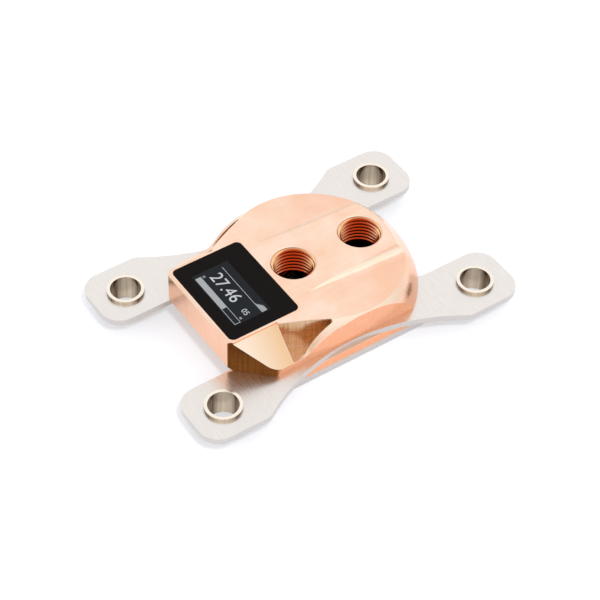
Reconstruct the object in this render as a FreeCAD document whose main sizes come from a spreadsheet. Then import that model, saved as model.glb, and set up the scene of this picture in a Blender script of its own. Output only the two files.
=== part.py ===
"""A liquid-cooling block for a processor: copper cover with a display, cold plate and steel bracket.

Millimetres. The origin is the centre of the four mounting holes, on the contact face of the cold
plate. Z points up. The display end faces -Y, and X runs to the right of someone facing it.
"""
import FreeCAD
import Part
import math
import os
import re

import Sketcher
from FreeCAD import Placement, Rotation, Vector

document = FreeCAD.newDocument("water_block")

# Driving dimensions, in millimetres and degrees
SIZES = {
    # The stack, from the contact face up
    "boss_drop": 0.6,
    "frame_thick": 2.5,
    "flange_thick": 3.0,
    "bracket_thick": 2.0,
    "cover_rise": 11.9,
    # Mounting holes and the bracket's outline
    "hole_span_x": 54.0,
    "hole_span_y": 90.0,
    "arm_half": 10.5,
    "arm_end": 10.75,
    "arm_corner": 6.5,
    "arm_flare": 30.0,
    "flare_corner": 3.0,
    "waist_spare": 0.5,
    "waist_radius": 62.0,
    "bridge_spare": 2.7,
    "bridge_corner": 4.0,
    # Sleeves in the bracket's arms
    "sleeve_bore": 9.27,
    "sleeve_wall": 0.665,
    "sleeve_lip": 0.4,
    "sleeve_flange_thick": 1.0,
    "sleeve_drop": 5.8,
    # Plug under the cover, and the opening in the bracket that it goes through
    "plug_inset": 7.5,
    "plug_corner": 6.0,
    "opening_gap": 0.2,
    "seal_inset": 1.5,
    "seal_section": 1.2,
    "seal_groove_gap": 0.2,
    # Cold plate
    "flange_spare": 1.4,
    "flange_corner": 2.0,
    "boss_inset": 7.8,
    "boss_corner": 2.5,
    "seal_land": 1.8,
    "pool_corner": 3.0,
    "pool_floor": 2.0,
    "fin_count": 24,
    "fin_thick": 0.6,
    "fin_side_room": 2.7,
    "fin_end_room": 3.5,
    # Jet plate on the fins
    "jet_thick": 0.5,
    "jet_gap": 1.0,
    "jet_corner": 1.0,
    "jet_slot_depth": 1.6,
    # Frame under the cold plate
    "frame_gap": 0.3,
    # Screws from below into the cover
    "screw_inset": 3.9,
    "rear_screw_x_step": 0.4,
    "rear_screw_y_step": 2.4,
    "screw_diameter": 3.0,
    "screw_head": 5.5,
    "screw_head_thick": 1.6,
    "screw_reach": 2.4,
    "screw_clearance": 0.2,
    "screw_hole_spare": 0.4,
    "screw_socket": 2.0,
    "screw_socket_depth": 1.0,
    # Round part of the cover, with its rounded bevel
    "disc_shift": 3.5,
    "disc_spare": 5.0,
    "disc_wall": 0.9,
    "bevel_reach": 6.6,
    "bevel_radius": 21.0,
    # Side faces, leaning out as they rise
    "side_half": 25.9,
    "side_lean": 7.3,
    # Display end
    "front_step": 0.4,
    "front_side_corner": 7.0,
    "front_top_edge": 0.6,
    "front_base_edge": 1.2,
    "facet_gap": 0.8,
    "facet_drop": 0.6,
    "facet_shift": 3.25,
    # Pockets at both sides behind the display end
    "pocket_step": 0.8,
    "rim_thick": 0.8,
    "pocket_tip": 6.2,
    "pocket_end": 0.7,
    "pocket_corner": 0.3,
    "pocket_rise": 1.5,
    "rim_rise": 2.35,
    "rim_step": 1.9,
    "rim_curve": 6.0,
    "rim_crest": 18.2,
    "rim_turn": 46.0,
    # Flanks, falling away beside the spine
    "spine_margin": 3.45,
    "spine_fillet": 3.0,
    "flank_start": 8.0,
    "flank_fall_x": 0.02,
    "flank_fall_y": 0.066,
    # Threaded ports
    "port_front": 3.05,
    "outlet_step": 4.45,
    "port_diameter": 13.157,
    "port_mouth": 13.9,
    "port_floor": 1.0,
    # Water passages in the cover's underside
    "plenum_margin": 4.5,
    "plenum_depth": 6.0,
    "plenum_rise": 3.6,
    "outlet_width": 12.0,
    "outlet_depth": 4.0,
    "outlet_rise": 5.5,
    "passage_corner": 1.5,
    # Display and its cavity
    "window_width": 32.8,
    "window_depth": 23.7,
    "window_corner": 1.8,
    "window_thick": 1.5,
    "window_gap": 0.05,
    "window_port_gap": 1.7,
    "window_margin": 1.15,
    "gasket_thick": 0.5,
    "gasket_width": 1.5,
    "panel_side_room": 1.4,
    "panel_end_room": 1.05,
    "panel_thick": 1.5,
    "panel_shift": 0.6,
    "board_gap": 2.2,
    "board_thick": 1.0,
    "board_side_gap": 0.6,
    "board_end_gap": 0.85,
    "board_corner": 0.8,
    "board_rail_rise": 1.5,
    "board_rail": 2.0,
    "chip_side": 6.0,
    "chip_thick": 0.9,
    "ribbon_width": 9.0,
    "ribbon_thick": 0.2,
    "ribbon_reach": 0.9,
    "ribbon_bend": 0.5,
    # Cable socket in the left pocket's wall
    "socket_width": 5.6,
    "socket_reach": 4.2,
    "socket_rise": 2.2,
    "socket_wall": 0.4,
    "socket_shift": 6.55,
    "socket_seat": 2.0,
    "socket_gap": 0.15,
    # Temperature probe between the display cavity and the inlet
    "probe_stem": 2.4,
    "probe_head": 4.6,
    "probe_head_thick": 1.2,
    "probe_rise": 2.8,
    "probe_set_back": 0.1,
    "probe_seal_section": 0.7,
    "probe_bay_width": 7.0,
    "probe_bay_depth": 4.0,
    "probe_gap": 0.3,
}

sheet = document.addObject("Spreadsheet::Sheet", "sizes")
for row, (alias, number) in enumerate(SIZES.items(), start=1):
    sheet.set(f"A{row}", alias)
    sheet.set(f"B{row}", str(number))
    sheet.setAlias(f"B{row}", alias)
document.recompute()

# Levels and places that follow from the driving dimensions
FRAME_BASE = "boss_drop"
FLANGE_BASE = "(boss_drop + frame_thick)"
BRACKET_BASE = f"({FLANGE_BASE} + flange_thick)"
COVER_BASE = f"({BRACKET_BASE} + bracket_thick)"
DECK = f"({COVER_BASE} + cover_rise)"
WINDOW_BASE = f"({DECK} - window_thick)"
LEDGE = f"({WINDOW_BASE} - gasket_thick)"
PANEL_BASE = f"({WINDOW_BASE} - panel_thick)"
BOARD_TOP = f"({PANEL_BASE} - board_gap)"
BOARD_BASE = f"({BOARD_TOP} - board_thick)"
CAVITY_BASE = f"({BOARD_BASE} - board_rail_rise)"
PORT_BASE = f"({COVER_BASE} + port_floor)"
JET_BASE = f"({BRACKET_BASE} - jet_thick)"
PROBE_LEVEL = f"({COVER_BASE} + probe_rise)"

# Widths that follow from the cover's side faces, from the outside in
FLANGE_SIDE = "(2 * (side_half + flange_spare))"
DISC_RADIUS = f"({FLANGE_SIDE} / 2 + disc_spare)"
PLUG_SIDE = f"({FLANGE_SIDE} - 2 * plug_inset)"
BOSS_SIDE = f"({FLANGE_SIDE} - 2 * boss_inset)"
SEAL_SIDE = f"({PLUG_SIDE} - 2 * seal_inset)"
POOL_SIDE = f"({SEAL_SIDE} - 2 * seal_land)"
PLENUM_WIDTH = f"({POOL_SIDE} - 2 * plenum_margin)"
FIN_RUN = f"({POOL_SIDE} - 2 * fin_end_room)"
FIN_SPAN = f"({POOL_SIDE} - 2 * fin_side_room)"
POCKET_OUTER = "(side_half - rim_thick)"

# Bracket, round the mounting holes and the cold plate
ARM_OUTER = "(hole_span_x / 2 + arm_half)"
ARM_INNER = "(hole_span_x / 2 - arm_half)"
ARM_REACH = "(hole_span_y / 2 + arm_end)"
WAIST_HALF = "(side_half + waist_spare)"
BRIDGE_REACH = f"({FLANGE_SIDE} / 2 + bridge_spare)"
SLEEVE_BODY = "(sleeve_bore + 2 * sleeve_wall)"
SLEEVE_FLANGE = f"({SLEEVE_BODY} + 2 * sleeve_lip)"

# Display end, from the inlet forwards
SPINE_HALF = "(port_mouth / 2 + spine_margin)"
WINDOW_CENTRE = "(port_front + port_mouth / 2 + window_port_gap + window_depth / 2)"
FRONT_REACH = f"({WINDOW_CENTRE} + window_depth / 2 + window_margin)"
FRONT_HALF = "(window_width / 2 - front_step)"
FACET_START = "(window_width / 2 + facet_gap)"
FACET_END = f"({WINDOW_CENTRE} - facet_shift)"
POCKET_INNER = f"({FACET_START} + pocket_step)"
CAVITY_WIDTH = "(window_width - 2 * gasket_width)"
CAVITY_DEPTH = "(window_depth - 2 * gasket_width)"
CAVITY_REAR = f"(-{WINDOW_CENTRE} + {CAVITY_DEPTH} / 2)"
PANEL_WIDTH = f"({CAVITY_WIDTH} - 2 * panel_side_room)"
PANEL_DEPTH = f"({CAVITY_DEPTH} - 2 * panel_end_room)"
BOARD_WIDTH = f"({CAVITY_WIDTH} - 2 * board_side_gap)"
BOARD_DEPTH = f"({CAVITY_DEPTH} - 2 * board_end_gap)"
SOCKET_CENTRE = f"({WINDOW_CENTRE} - socket_shift)"

# Room above the cover for cutting tools, and how far a cut or a foot reaches into what it joins
CUT_ROOM = 5.0
OVERLAP = 1.0


def linked(text):
    """Return an expression with every size named in it tied to its cell."""
    return re.sub(r"[a-z][a-z_]*[a-z]", lambda word: (
        f"sizes.{word.group()}" if word.group() in SIZES else word.group()), str(text))


def value(text):
    """Return the number that an expression stands for now."""
    result = sheet.evalExpression(linked(text))
    return float(getattr(result, "Value", result))


def bind(item, **properties):
    """Tie properties of an object to expressions, naming nested ones with double underscores."""
    for name, text in properties.items():
        item.setExpression(name.replace("__", "."), linked(text))


def new_body(label):
    """Start a sub-part."""
    body = document.addObject("PartDesign::Body", label)
    body.Label = label
    return body


def new_sketch(body, name, plane, level="0", shift_x="0", tilt="0"):
    """Add a sketch on one of the body's own planes.

    It is moved along its normal and along its x axis, and tilted about its x axis.
    """
    sketch = body.newObject("Sketcher::SketchObject", name)
    support = next(item for item in body.Origin.OriginFeatures if item.Role == plane)
    sketch.AttachmentSupport = (support, [""])
    sketch.MapMode = "FlatFace"
    if tilt != "0":
        sketch.AttachmentOffset = Placement(Vector(0, 0, 0), Rotation(Vector(1, 0, 0), value(tilt)))
        bind(sketch, AttachmentOffset__Rotation__Angle=tilt)
    bind(sketch, AttachmentOffset__Base__z=level, AttachmentOffset__Base__x=shift_x)
    return sketch


def point_rules(geometry, point, place):
    """Return the rules that tie a point to two expressions, measured from the sketch's origin."""
    rules = []
    for kind, axis, text in (("DistanceX", -2, place[0]), ("DistanceY", -1, place[1])):
        if str(text) == "0":
            rules.append((Sketcher.Constraint("PointOnObject", geometry, point, axis), None))
        else:
            rules.append((Sketcher.Constraint(kind, -1, 1, geometry, point, value(text)), text))
    return rules


def radius_rule(geometry, text):
    """Return the rule that ties the radius of an arc or circle to an expression."""
    return [(Sketcher.Constraint("Radius", geometry, value(text)), text)]


def apply_rules(sketch, rules):
    """Add the rules to the sketch, and tie those that have an expression to it."""
    numbers = sketch.addConstraint([constraint for constraint, _ in rules])
    for number, (_, text) in zip(numbers, rules):
        if text is not None:
            sketch.setExpression(f"Constraints[{number}]", linked(text))


def arc_between(start, end, centre, turn_left):
    """Return the arc from start to end about a centre, as the sketcher stores it."""
    first, last = (start, end) if turn_left else (end, start)
    angles = [math.atan2(point.y - centre.y, point.x - centre.x) for point in (first, last)]
    radius = (start - centre).Length
    return Part.ArcOfCircle(Part.Circle(centre, Vector(0, 0, 1), radius), *angles)


def outline(sketch, corners, arcs=None):
    """Draw a closed outline through corners given as (x, y) or (x, y, corner radius).

    arcs names edges, by the number of their first corner, that are arcs: a positive radius bulges
    to the right of the way the outline runs, and a negative one to its left.
    """
    arcs = arcs or {}
    count = len(corners)
    points = [Vector(value(corner[0]), value(corner[1]), 0) for corner in corners]
    radii = [value(corner[2]) if len(corner) > 2 else 0 for corner in corners]
    ways = [(points[(i + 1) % count] - points[i]).normalize() for i in range(count)]
    turns = [math.atan2(ways[i - 1].cross(ways[i]).z, ways[i - 1].dot(ways[i])) for i in range(count)]
    trims = [radii[i] * math.tan(abs(turns[i]) / 2) for i in range(count)]
    edges = []
    for i in range(count):
        start = points[i] + ways[i] * trims[i]
        end = points[(i + 1) % count] - ways[i] * trims[(i + 1) % count]
        if i not in arcs:
            edges.append((sketch.addGeometry(Part.LineSegment(start, end)), 1, 2))
            continue
        radius = value(arcs[i])
        chord = (end - start).Length
        away = Vector(-ways[i].y, ways[i].x, 0) * math.sqrt(radius ** 2 - chord ** 2 / 4)
        centre = (start + end) / 2 + (away if radius > 0 else -away)
        arc = sketch.addGeometry(arc_between(start, end, centre, radius > 0))
        edges.append((arc, 1, 2) if radius > 0 else (arc, 2, 1))
    rules = []
    for i in range(count):
        before, _, before_end = edges[i - 1]
        after, after_start, _ = edges[i]
        if not radii[i]:
            rules.append((Sketcher.Constraint(
                "Coincident", before, before_end, after, after_start), None))
            rules += point_rules(after, after_start, corners[i])
            continue
        left = turns[i] > 0
        side = Vector(-ways[i].y, ways[i].x, 0) * (radii[i] if left else -radii[i])
        start = points[i] - ways[i - 1] * trims[i]
        end = points[i] + ways[i] * trims[i]
        arc = sketch.addGeometry(arc_between(start, end, end + side, left))
        first, last = (1, 2) if left else (2, 1)
        corner = sketch.addGeometry(Part.Point(points[i]), True)
        rules += [
            (Sketcher.Constraint("PointOnObject", corner, 1, before), None),
            (Sketcher.Constraint("PointOnObject", corner, 1, after), None),
            (Sketcher.Constraint("Tangent", before, before_end, arc, first), None),
            (Sketcher.Constraint("Tangent", arc, last, after, after_start), None)]
        rules += point_rules(corner, 1, corners[i])
        rules += radius_rule(arc, corners[i][2])
    for i, text in arcs.items():
        rules += radius_rule(edges[i][0], f"abs({text})")
    apply_rules(sketch, rules)


def rectangle(sketch, width, depth, corner=None, centre=("0", "0")):
    """Draw a rectangle about a centre, with rounded corners if a radius is given."""
    ends = [(-1, -1), (1, -1), (1, 1), (-1, 1)]
    places = [(f"({centre[0]}) + {x} * ({width}) / 2", f"({centre[1]}) + {y} * ({depth}) / 2")
              for x, y in ends]
    outline(sketch, [place + ((corner,) if corner else ()) for place in places])


def circle(sketch, diameter, centre=("0", "0")):
    """Draw a circle about a centre."""
    middle = Vector(value(centre[0]), value(centre[1]), 0)
    ring = sketch.addGeometry(Part.Circle(middle, Vector(0, 0, 1), value(diameter) / 2))
    apply_rules(sketch, point_rules(ring, 3, centre) + radius_rule(ring, f"({diameter}) / 2"))


def mirrored_x(corners):
    """Return the corners on the other side of the Y axis, in the order that keeps the same turn."""
    return [(f"-({corner[0]})",) + tuple(corner[1:]) for corner in reversed(corners)]


def pad(body, name, sketch, length, down=False):
    """Add material from a sketch."""
    feature = body.newObject("PartDesign::Pad", name)
    feature.Profile = sketch
    feature.Reversed = down
    bind(feature, Length=length)
    return checked(body, feature, grows=True)


def pocket(body, name, sketch, length, up=False, both=False):
    """Cut material away from a sketch, down unless told otherwise."""
    feature = body.newObject("PartDesign::Pocket", name)
    feature.Profile = sketch
    feature.Reversed = up
    feature.Midplane = both
    bind(feature, Length=length)
    return checked(body, feature, grows=False)


def revolve(body, name, sketch, cut=False):
    """Turn a sketch once round its own vertical axis."""
    feature = body.newObject("PartDesign::Groove" if cut else "PartDesign::Revolution", name)
    feature.Profile = sketch
    feature.ReferenceAxis = (sketch, ["V_Axis"])
    feature.Angle = 360
    return checked(body, feature, grows=not cut)


def repeat(body, name, feature, count, span):
    """Repeat a feature in a row along the X axis."""
    pattern = body.newObject("PartDesign::LinearPattern", name)
    pattern.Originals = [feature]
    axis = next(item for item in body.Origin.OriginFeatures if item.Role == "X_Axis")
    pattern.Direction = (axis, [""])
    bind(pattern, Length=span, Occurrences=count)
    body.Tip = pattern
    return checked(body, pattern, grows=True)


volumes = {}


def checked(body, feature, grows):
    """Recompute, and stop if a feature failed or moved the body's volume the wrong way."""
    document.recompute()
    if {"Invalid", "Error"} & set(feature.State) or feature.Shape.isNull():
        raise RuntimeError(f"{body.Label}: {feature.Name} failed: {feature.State}")
    before = volumes.get(body.Name, 0.0)
    volumes[body.Name] = feature.Shape.Volume
    if (feature.Shape.Volume > before) != grows:
        raise RuntimeError(f"{body.Label}: {feature.Name} changed the volume the wrong way")
    return feature


def screw_places():
    """Return where the screws stand, as pairs of expressions."""
    offset = f"({FLANGE_SIDE} / 2 - screw_inset)"
    rows = [(offset, f"-{offset}"),
            (f"({offset} - rear_screw_x_step)", f"{offset} - rear_screw_y_step")]
    return [(f"{side} * {x}", y) for x, y in rows for side in (-1, 1)]


def port_places():
    """Return the centres of the inlet and outlet ports."""
    return [("0", "-port_front"), ("0", f"{POOL_SIDE} / 2 + outlet_step")]


# Cover: one milled block
def cover_blank(body):
    """Round body with its rounded bevel, and the full-height block of the display end."""
    profile = new_sketch(body, "disc_profile", "YZ_Plane", shift_x="disc_shift")
    outline(profile, [
        ("0", COVER_BASE),
        (DISC_RADIUS, COVER_BASE),
        (DISC_RADIUS, f"{COVER_BASE} + disc_wall"),
        (f"{DISC_RADIUS} - bevel_reach", DECK),
        ("0", DECK)], arcs={2: "bevel_radius"})
    revolve(body, "disc", profile)
    # Behind the pockets the block narrows in line with their inner walls
    side = "(side_half + rim_rise * tan(side_lean * 1 deg))"
    right = [
        (FRONT_HALF, f"-{FRONT_REACH}"),
        (side, f"-{FRONT_REACH} + {side} - {FRONT_HALF}", "front_side_corner"),
        (side, f"-{FACET_END}"),
        (POCKET_INNER, f"-{FACET_END}"),
        (f"{POCKET_OUTER} - pocket_end", "-pocket_tip"),
        (SPINE_HALF, "-pocket_tip")]
    block = new_sketch(body, "display_end_outline", "XY_Plane", COVER_BASE)
    outline(block, mirrored_x(right)[-1:] + right + mirrored_x(right)[:-1])
    pad(body, "display_end", block, "cover_rise")
    # Low rim in front of the round body, with a hollow rise and a rounded crest that run into it
    start, turn = f"(-{FACET_END} + rim_step)", "rim_turn * 1 deg"
    foot, top = f"-{FACET_END} - {OVERLAP}", f"({COVER_BASE} + rim_rise)"
    rise_end = f"({start} + rim_curve * sin({turn}))"
    rise_top = f"({top} + rim_curve * (1 - cos({turn})))"
    crest_end = f"{rise_end} + rim_crest * sin({turn})"
    rim = new_sketch(body, "rim_profile", "YZ_Plane", "-(side_half + bevel_reach)")
    outline(rim, [
        (foot, COVER_BASE),
        (crest_end, COVER_BASE),
        (crest_end, f"{rise_top} + rim_crest * (1 - cos({turn}))"),
        (rise_end, rise_top),
        (start, top),
        (foot, top)], arcs={2: "rim_crest", 3: "-rim_curve"})
    pad(body, "rim", rim, "2 * (side_half + bevel_reach)")


def cover_sides(body):
    """Leaning side faces, sloping facets beside the display, and the edges of the front face."""
    lean_run = f"(cover_rise + {CUT_ROOM}) * tan(side_lean * 1 deg)"
    sides = new_sketch(body, "side_faces", "XZ_Plane", "-disc_shift")
    right = [
        ("side_half", COVER_BASE),
        (f"2 * {DISC_RADIUS}", COVER_BASE),
        (f"2 * {DISC_RADIUS}", f"{DECK} + {CUT_ROOM}"),
        (f"side_half + {lean_run}", f"{DECK} + {CUT_ROOM}")]
    outline(sides, right)
    outline(sides, mirrored_x(right))
    pocket(body, "side_cuts", sides, f"4 * {DISC_RADIUS}", both=True)
    facet_top = f"({DECK} - facet_drop)"
    facets = new_sketch(body, "facet_profile", "XZ_Plane", FACET_END)
    right = [
        (FACET_START, facet_top),
        (f"2 * {FACET_START}", f"{facet_top} - {FACET_START}"),
        (f"2 * {FACET_START}", f"{DECK} + {CUT_ROOM}"),
        (FACET_START, f"{DECK} + {CUT_ROOM}")]
    outline(facets, right)
    outline(facets, mirrored_x(right))
    pocket(body, "facets", facets, FRONT_REACH, up=True)
    face = f"-{FRONT_REACH}"
    edges = new_sketch(body, "front_edges", "YZ_Plane")
    outline(edges, [
        (face, f"{DECK} - front_top_edge"),
        (f"{face} + front_top_edge", DECK),
        (f"{face} + front_top_edge", f"{DECK} + {CUT_ROOM}"),
        (f"{face} - {CUT_ROOM}", f"{DECK} + {CUT_ROOM}"),
        (f"{face} - {CUT_ROOM}", f"{DECK} - front_top_edge")])
    outline(edges, [
        (face, f"{COVER_BASE} + front_base_edge"),
        (f"{face} - {CUT_ROOM}", f"{COVER_BASE} + front_base_edge"),
        (f"{face} - {CUT_ROOM}", COVER_BASE),
        (f"{face} + front_base_edge", COVER_BASE)])
    pocket(body, "front_edge_cuts", edges, f"4 * {FRONT_HALF}", both=True)


def cover_pockets(body):
    """Wedge-shaped pockets behind the facets, leaving a thin rim outside."""
    pockets = new_sketch(body, "pocket_outlines", "XY_Plane", f"{COVER_BASE} + pocket_rise")
    right = [
        (POCKET_INNER, f"-{FACET_END}"),
        (POCKET_OUTER, f"-{FACET_END}"),
        (POCKET_OUTER, "-pocket_tip", "pocket_corner"),
        (f"{POCKET_OUTER} - pocket_end", "-pocket_tip", "pocket_corner")]
    outline(pockets, right)
    outline(pockets, mirrored_x(right))
    pocket(body, "side_pockets", pockets, f"cover_rise + {CUT_ROOM}", up=True)


def cover_flanks(body):
    """Flanks that fall away from the spine, outwards and to the rear, with a hollow fillet."""
    fall = "atan(flank_fall_y)"
    sketch = new_sketch(body, "flank_outlines", "XZ_Plane", tilt=f"-{fall}")
    level, run = f"({DECK} - flank_fall_y * flank_start)", f"({DISC_RADIUS} - {SPINE_HALF})"
    outer, top = f"{SPINE_HALF} + {run}", f"{DECK} + {CUT_ROOM}"
    right = [
        (SPINE_HALF, f"{level} * cos({fall})", "spine_fillet"),
        (outer, f"({level} - flank_fall_x * {run}) * cos({fall})"),
        (outer, top),
        (SPINE_HALF, top)]
    outline(sketch, right)
    outline(sketch, mirrored_x(right))
    pocket(body, "flanks", sketch, f"4 * {DISC_RADIUS}", both=True)


def cover_display(body):
    """Recess for the window, and the cavity under it with two rails for the circuit board."""
    middle = ("0", f"-{WINDOW_CENTRE}")
    recess = new_sketch(body, "window_recess_outline", "XY_Plane", DECK)
    rectangle(recess, "window_width + 2 * window_gap", "window_depth + 2 * window_gap",
              "window_corner", middle)
    pocket(body, "window_recess", recess, "window_thick + gasket_thick")
    cavity = new_sketch(body, "cavity_outline", "XY_Plane", LEDGE)
    rectangle(cavity, CAVITY_WIDTH, CAVITY_DEPTH, "window_corner", middle)
    pocket(body, "cavity", cavity, f"{LEDGE} - {BOARD_BASE}")
    floor = new_sketch(body, "cavity_floor_outline", "XY_Plane", BOARD_BASE)
    rectangle(floor, f"{CAVITY_WIDTH} - 2 * (board_side_gap + board_rail)", CAVITY_DEPTH, None, middle)
    pocket(body, "cavity_floor", floor, "board_rail_rise")
    # Bay and bore for the temperature probe, which reaches the inlet
    bay = new_sketch(body, "probe_bay_outline", "XY_Plane", CAVITY_BASE)
    rectangle(bay, "probe_bay_width", "probe_bay_depth", None,
              ("0", f"{CAVITY_REAR} - probe_bay_depth / 2"))
    pocket(body, "probe_bay", bay, f"{CAVITY_BASE} - {PROBE_LEVEL} + probe_head / 2 + probe_gap")
    bore = new_sketch(body, "probe_bore_outline", "XZ_Plane", f"-{CAVITY_REAR}")
    circle(bore, "probe_stem", ("0", PROBE_LEVEL))
    pocket(body, "probe_bore", bore, f"-port_front - {CAVITY_REAR}")
    # Opening for the cable socket, from the cavity into the left pocket
    opening = new_sketch(body, "socket_opening_outline", "YZ_Plane",
                         f"-{CAVITY_WIDTH} / 2 + {OVERLAP}")
    rectangle(opening, "socket_width + 2 * socket_gap", "socket_rise + 2 * socket_gap", None,
              (f"-{SOCKET_CENTRE}", f"{BOARD_TOP} + socket_rise / 2"))
    pocket(body, "socket_opening", opening, f"{POCKET_OUTER} - window_width / 2")


def cover_ports(body):
    """Two threaded ports with countersunk mouths."""
    for name, place in zip(("inlet", "outlet"), port_places()):
        profile = new_sketch(body, f"{name}_profile", "YZ_Plane", shift_x=place[1])
        outline(profile, [
            ("0", PORT_BASE),
            ("port_diameter / 2", PORT_BASE),
            ("port_diameter / 2", f"{DECK} - (port_mouth - port_diameter) / 2"),
            ("port_mouth / 2", DECK),
            ("port_mouth / 2", f"{DECK} + {CUT_ROOM}"),
            ("0", f"{DECK} + {CUT_ROOM}")])
        revolve(body, f"{name}_port", profile, cut=True)


def cover_underside(body):
    """Plug through the bracket, seal groove, water passages and screw holes."""
    plug = new_sketch(body, "plug_outline", "XY_Plane", COVER_BASE)
    rectangle(plug, PLUG_SIDE, PLUG_SIDE, "plug_corner")
    pad(body, "plug", plug, "bracket_thick", down=True)
    groove = new_sketch(body, "seal_groove_outline", "XY_Plane", BRACKET_BASE)
    half_width = "(seal_section / 2 + seal_groove_gap)"
    rectangle(groove, f"{SEAL_SIDE} + 2 * {half_width}", f"{SEAL_SIDE} + 2 * {half_width}",
              f"plug_corner - seal_inset + {half_width}")
    rectangle(groove, f"{SEAL_SIDE} - 2 * {half_width}", f"{SEAL_SIDE} - 2 * {half_width}",
              f"plug_corner - seal_inset - {half_width}")
    pocket(body, "seal_groove", groove, "seal_section", up=True)
    plenum = new_sketch(body, "plenum_outline", "XY_Plane", BRACKET_BASE)
    rectangle(plenum, PLENUM_WIDTH, "plenum_depth", "passage_corner")
    pocket(body, "plenum", plenum, "plenum_rise", up=True)
    outlet = new_sketch(body, "outlet_outline", "XY_Plane", BRACKET_BASE)
    rectangle(outlet, "outlet_width", "outlet_depth", "passage_corner",
              ("0", f"({POOL_SIDE} - outlet_depth) / 2"))
    pocket(body, "outlet_passage", outlet, "outlet_rise", up=True)
    holes = new_sketch(body, "screw_hole_outline", "XY_Plane", COVER_BASE)
    for place in screw_places():
        circle(holes, "screw_diameter", place)
    pocket(body, "screw_holes", holes, "screw_reach + screw_hole_spare", up=True)


def top_cover():
    """Copper cover, milled from one block."""
    body = new_body("top_cover")
    cover_blank(body)
    cover_sides(body)
    cover_pockets(body)
    cover_flanks(body)
    cover_display(body)
    cover_ports(body)
    cover_underside(body)
    return body


# Cold plate and what lies on it
def cold_plate():
    """Copper plate with a contact boss below and a pool of fins above."""
    body = new_body("cold_plate")
    flange = new_sketch(body, "flange_outline", "XY_Plane", FLANGE_BASE)
    rectangle(flange, FLANGE_SIDE, FLANGE_SIDE, "flange_corner")
    pad(body, "flange", flange, "flange_thick")
    boss = new_sketch(body, "boss_outline", "XY_Plane", FLANGE_BASE)
    rectangle(boss, BOSS_SIDE, BOSS_SIDE, "boss_corner")
    pad(body, "boss", boss, FLANGE_BASE, down=True)
    pool = new_sketch(body, "pool_outline", "XY_Plane", BRACKET_BASE)
    rectangle(pool, POOL_SIDE, POOL_SIDE, "pool_corner")
    pocket(body, "pool", pool, f"{BRACKET_BASE} - pool_floor")
    fin = new_sketch(body, "fin_outline", "XY_Plane", "pool_floor")
    rectangle(fin, "fin_thick", FIN_RUN, None, (f"-{FIN_SPAN} / 2", "0"))
    first_fin = pad(body, "first_fin", fin, f"{JET_BASE} - pool_floor")
    repeat(body, "fins", first_fin, "fin_count", FIN_SPAN)
    holes = new_sketch(body, "plate_screw_holes", "XY_Plane", BRACKET_BASE)
    for place in screw_places():
        circle(holes, "screw_diameter + 2 * screw_clearance", place)
    pocket(body, "plate_holes", holes, "flange_thick")
    return body


def jet_plate():
    """Thin steel plate that lets the water onto the middle of the fins."""
    body = new_body("jet_plate")
    shape = new_sketch(body, "jet_outline", "XY_Plane", JET_BASE)
    rectangle(shape, f"{POOL_SIDE} - 2 * jet_gap", FIN_RUN, "jet_corner")
    rectangle(shape, PLENUM_WIDTH, "jet_slot_depth")
    pad(body, "jet", shape, "jet_thick")
    return body


def main_seal():
    """Seal ring round the pool, in the groove of the cover's plug."""
    body = new_body("main_seal")
    ring = new_sketch(body, "seal_outline", "XY_Plane", BRACKET_BASE)
    for edge in ("seal_section / 2", "-seal_section / 2"):
        side = f"{SEAL_SIDE} + 2 * {edge}"
        rectangle(ring, side, side, f"plug_corner - seal_inset + {edge}")
    pad(body, "seal_ring", ring, "seal_section")
    return body


def mounting_bracket():
    """Stainless bracket with four flared arms and a waist."""
    body = new_body("mounting_bracket")
    flare = "tan(arm_flare * 1 deg)"
    waist_corner = f"({WAIST_HALF} - waist_radius * (1 / cos(arm_flare * 1 deg) - 1))"
    elbow = f"({ARM_OUTER} - {waist_corner}) / {flare}"
    right = [
        (ARM_INNER, f"-{BRIDGE_REACH}", "bridge_corner"),
        (ARM_INNER, f"-{ARM_REACH}", "arm_corner"),
        (ARM_OUTER, f"-{ARM_REACH}", "arm_corner"),
        (ARM_OUTER, f"-{elbow}", "flare_corner"),
        (waist_corner, "0", "waist_radius"),
        (ARM_OUTER, elbow, "flare_corner"),
        (ARM_OUTER, ARM_REACH, "arm_corner"),
        (ARM_INNER, ARM_REACH, "arm_corner"),
        (ARM_INNER, BRIDGE_REACH, "bridge_corner")]
    shape = new_sketch(body, "bracket_outline", "XY_Plane", BRACKET_BASE)
    outline(shape, right + mirrored_x(right))
    rectangle(shape, f"{PLUG_SIDE} + 2 * opening_gap", f"{PLUG_SIDE} + 2 * opening_gap",
              "plug_corner + opening_gap")
    for place in sleeve_places().values():
        circle(shape, SLEEVE_BODY, place)
    for place in screw_places():
        circle(shape, "screw_diameter + 2 * screw_clearance", place)
    pad(body, "bracket", shape, "bracket_thick")
    return body


def sleeve_places():
    """Return where each sleeve stands, by its name."""
    return {f"sleeve_{end}_{side}": (f"{x} * hole_span_x / 2", f"{y} * hole_span_y / 2")
            for end, y in (("front", -1), ("rear", 1)) for side, x in (("left", -1), ("right", 1))}


def sleeve(label, place):
    """Turned sleeve, pressed into an arm from above, for one mounting screw."""
    body = new_body(label)
    base, top = f"({BRACKET_BASE} - sleeve_drop)", f"({COVER_BASE} + sleeve_flange_thick)"
    bore, stem, flange = "sleeve_bore / 2", f"{SLEEVE_BODY} / 2", f"{SLEEVE_FLANGE} / 2"
    profile = new_sketch(body, f"{label}_profile", "XZ_Plane")
    outline(profile, [
        (bore, base),
        (stem, base),
        (stem, COVER_BASE),
        (flange, COVER_BASE),
        (flange, top),
        (bore, top)])
    revolve(body, f"{label}_turning", profile)
    bind(body, Placement__Base__x=place[0], Placement__Base__y=place[1])
    return body


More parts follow.
